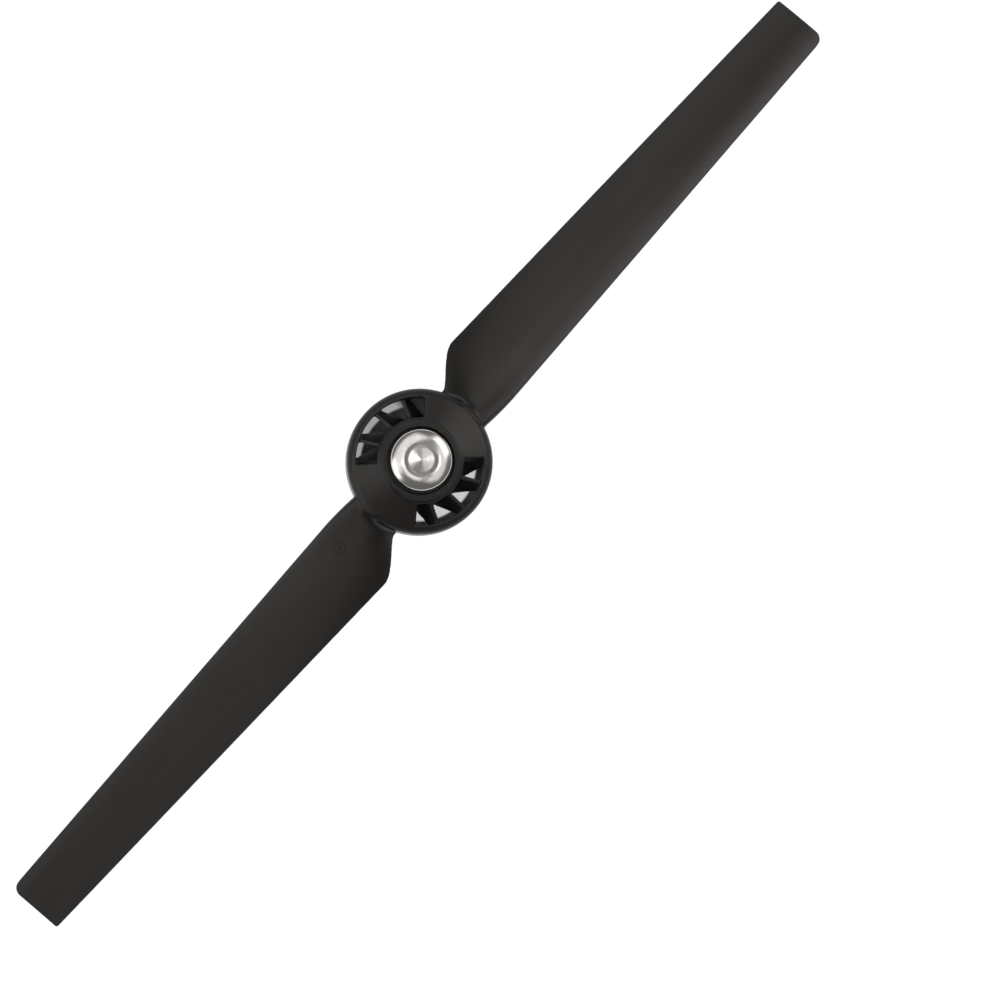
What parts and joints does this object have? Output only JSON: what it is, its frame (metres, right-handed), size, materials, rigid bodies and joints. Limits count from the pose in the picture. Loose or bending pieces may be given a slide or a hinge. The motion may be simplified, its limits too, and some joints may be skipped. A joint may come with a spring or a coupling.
{
  "type": "multirotor propeller",
  "caption": "Clockwise fixed-pitch drone propeller: moulded blades and vented cone hub, moulded-in domed metal nut and a loose rubber spacer ring.",
  "frame": {"origin": "centre of the hub rim's lower face, on the spin axis", "axes": "+Z along the spin axis in the direction of thrust, +X along blade 1, whose leading edge is at -Y"},
  "size_m": [0.33, 0.041, 0.0194],
  "materials": {
    "nylon": "satin, glass-filled nylon",
    "nut_metal": "turned and polished",
    "ring_rubber": "moulded, satin"
  },
  "bodies": {
    "rotor": {"hub_skirt": "nylon", "hub_cone": "nylon", "nut_boss": "nylon", "vane_1": "nylon", "vane_2": "nylon", "vane_3": "nylon", "vane_4": "nylon", "vane_5": "nylon", "vane_6": "nylon", "vane_7": "nylon", "vane_8": "nylon", "vane_9": "nylon", "vane_10": "nylon", "rib_1": "nylon", "rib_2": "nylon", "rib_3": "nylon", "rib_4": "nylon", "rib_5": "nylon", "rib_6": "nylon", "blade_1": "nylon", "blade_2": "nylon", "threaded_nut": "nut_metal"},
    "ring": {"spacer_ring": "ring_rubber"}
  },
  "joints": [
    {"name": "ring_slide", "type": "slide", "parent": "rotor", "child": "ring", "axis": [0, 0, -1], "range_m": [0, 0.012]}
  ]
}
